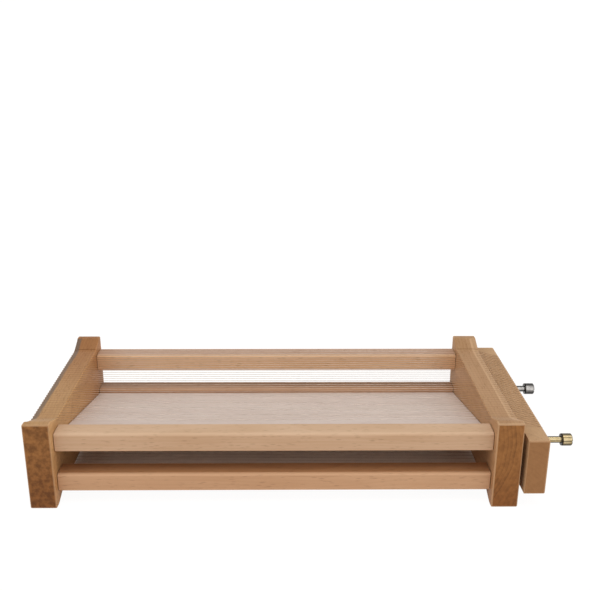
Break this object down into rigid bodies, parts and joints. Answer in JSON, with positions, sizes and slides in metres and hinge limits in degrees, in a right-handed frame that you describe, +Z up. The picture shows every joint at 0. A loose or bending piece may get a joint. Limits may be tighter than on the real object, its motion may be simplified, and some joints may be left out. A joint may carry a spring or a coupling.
{
  "type": "pasta guitar",
  "caption": "Pasta guitar for cutting dough sheets: beech frame strung with steel wire on both faces over a sloping board, with a screw-tensioned bar at one end.",
  "frame": {"origin": "on the supporting surface, under the middle of the whole part, screw heads included", "axes": "+X along the strings towards the tension bar and its screws, +Y from the front to the back window where the pasta comes out, +Z up"},
  "size_m": [0.5156, 0.219, 0.086],
  "materials": {
    "beech_plate": "sanded beech, oiled",
    "beech_rail": "sanded beech, pale",
    "beech_bar": "sanded beech, oiled",
    "plywood_board": "pale pinkish beech plywood, sanded",
    "beech_dowel": "turned beech",
    "string_wire": "bright drawn steel wire",
    "pin_steel": "bright steel pin",
    "insert_steel": "zinc-plated steel",
    "screw_brass": "turned and polished",
    "screw_nickel": "turned, nickel plated"
  },
  "bodies": {
    "frame": {"left_end_plate": "beech_plate", "right_end_plate": "beech_plate", "front_top_rail": "beech_rail", "front_bottom_rail": "beech_rail", "back_top_rail": "beech_rail", "back_bottom_rail": "beech_rail", "slide_board": "plywood_board", "left_rail_dowels": "beech_dowel", "right_rail_dowels": "beech_dowel", "top_strings": "string_wire", "bottom_strings": "string_wire", "left_top_loops": "string_wire", "left_bottom_loops": "string_wire", "left_top_pins": "pin_steel", "left_bottom_pins": "pin_steel", "front_thrust_disc": "insert_steel", "back_thrust_disc": "insert_steel"},
    "tension_bar": {"tension_bar": "beech_bar", "front_screw_insert": "insert_steel", "back_screw_insert": "insert_steel", "bar_top_pins": "pin_steel", "bar_bottom_pins": "pin_steel", "bar_top_tails": "string_wire", "bar_bottom_tails": "string_wire"},
    "front_screw": {"front_tension_screw": "screw_brass"},
    "back_screw": {"back_tension_screw": "screw_nickel"}
  },
  "joints": [
    {"name": "bar_slide", "type": "slide", "parent": "frame", "child": "tension_bar", "axis": [1, 0, 0], "range_m": [-0.003, 0.003], "deforming": ["bar_top_tails", "bar_bottom_tails"]},
    {"name": "front_screw_turn", "type": "hinge", "parent": "frame", "child": "front_screw", "pos_m": [0.2, -0.057, 0.043], "axis": [-1, 0, 0], "range_deg": [-1081, 1081]},
    {"name": "back_screw_turn", "type": "hinge", "parent": "frame", "child": "back_screw", "pos_m": [0.2, 0.057, 0.043], "axis": [-1, 0, 0], "range_deg": [-1081, 1081]}
  ],
  "couplings": [
    {"joint": "front_screw_turn", "follows": "bar_slide", "rad_per_m": 6283.2},
    {"joint": "back_screw_turn", "follows": "bar_slide", "rad_per_m": 6283.2}
  ]
}
